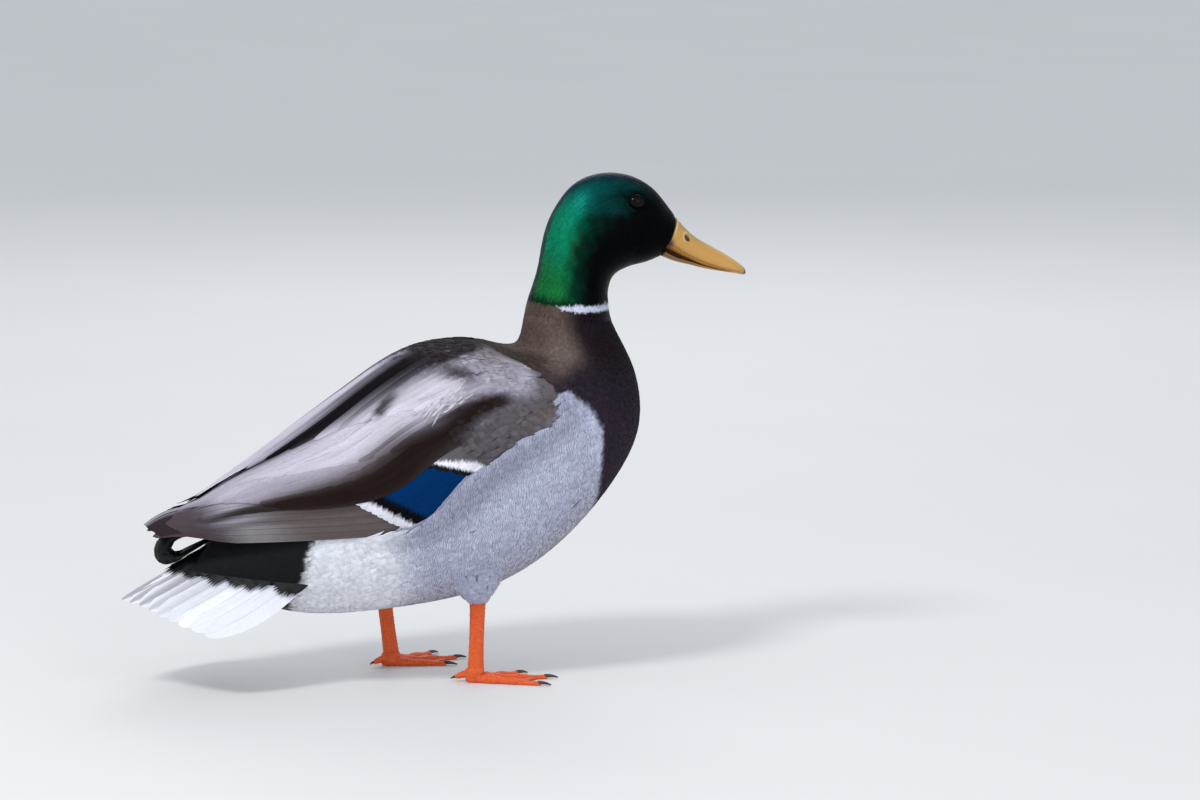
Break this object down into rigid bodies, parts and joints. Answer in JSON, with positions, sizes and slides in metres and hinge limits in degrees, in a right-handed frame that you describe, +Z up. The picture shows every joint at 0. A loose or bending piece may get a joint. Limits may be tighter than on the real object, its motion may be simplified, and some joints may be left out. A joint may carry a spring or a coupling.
{
  "type": "mallard duck",
  "caption": "Life-size still model of a standing mallard drake: green head, grey flanks, blue wing patch, curled tail feathers and orange webbed feet.",
  "frame": {"origin": "centre of the part's box on the floor, between the legs and a little ahead of the left foot", "axes": "+X the way the duck faces, +Y to its left, +Z up; the feet stand on Z = 0"},
  "size_m": [0.3802, 0.1318, 0.2992],
  "materials": {
    "head_plumage": "glossy green plumage",
    "breast_plumage": "dark purplish brown plumage",
    "flank_plumage": "pale grey finely barred plumage",
    "rump_plumage": "black plumage with a slight green gloss",
    "tail_plumage": "white flight feathers",
    "scapular_plumage": "pale grey-brown plumage",
    "wing_plumage": "taupe grey-brown plumage",
    "speculum_plumage": "glossy blue feathers with black and white bars",
    "primary_plumage": "dark grey-brown flight feathers",
    "bill_horn": "satin yellow bill skin and horn",
    "leg_skin": "scaled orange skin",
    "claw_horn": "dark horn",
    "eye_surface": "wet dark brown eye"
  },
  "bodies": {
    "root": {"head": "head_plumage", "neck": "head_plumage", "neck_base": "breast_plumage", "breast": "breast_plumage", "trunk": "flank_plumage", "rump": "rump_plumage", "tail": "tail_plumage", "tail_curl": "rump_plumage", "bill_upper": "bill_horn", "bill_lower": "bill_horn", "scapulars_left": "scapular_plumage", "wing_left": "wing_plumage", "tertials_left": "scapular_plumage", "speculum_left": "speculum_plumage", "primaries_left": "primary_plumage", "wing_tip_left": "primary_plumage", "eye_left": "eye_surface", "thigh_left": "flank_plumage", "shank_left": "leg_skin", "foot_left": "leg_skin", "claw_left_inner": "claw_horn", "claw_left_middle": "claw_horn", "claw_left_outer": "claw_horn", "claw_left_hind": "claw_horn", "scapulars_right": "scapular_plumage", "wing_right": "wing_plumage", "tertials_right": "scapular_plumage", "speculum_right": "speculum_plumage", "primaries_right": "primary_plumage", "wing_tip_right": "primary_plumage", "eye_right": "eye_surface", "thigh_right": "flank_plumage", "shank_right": "leg_skin", "foot_right": "leg_skin", "claw_right_inner": "claw_horn", "claw_right_middle": "claw_horn", "claw_right_outer": "claw_horn", "claw_right_hind": "claw_horn"}
  },
  "joints": []
}
